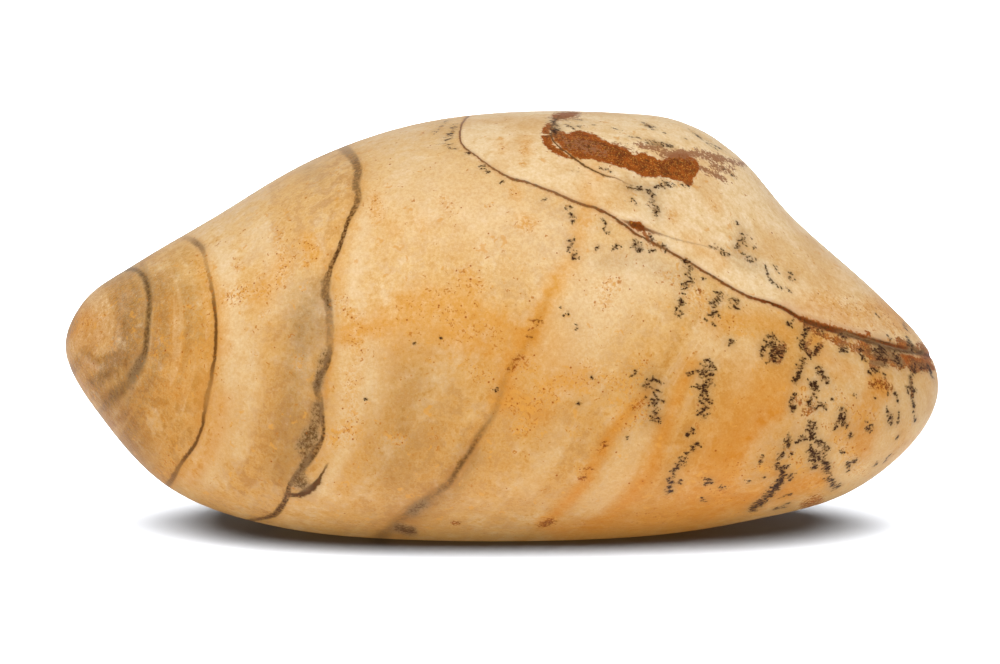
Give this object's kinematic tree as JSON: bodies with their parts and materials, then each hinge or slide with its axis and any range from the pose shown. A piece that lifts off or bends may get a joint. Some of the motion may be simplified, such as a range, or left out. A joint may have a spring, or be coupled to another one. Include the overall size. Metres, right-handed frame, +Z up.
{
  "type": "landscape jasper",
  "caption": "Polished landscape jasper: a tumbled, lens-shaped stone that tapers to both ends and lies on a small worn flat.",
  "frame": {"origin": "middle of the small worn flat that the stone rests on", "axes": "+Z up, +X along the stone's length towards the blunt right end, -Y out of the show face"},
  "size_m": [0.0435, 0.0248, 0.021],
  "materials": {
    "jasper": "polished"
  },
  "bodies": {
    "root": {"stone": "jasper"}
  },
  "joints": []
}
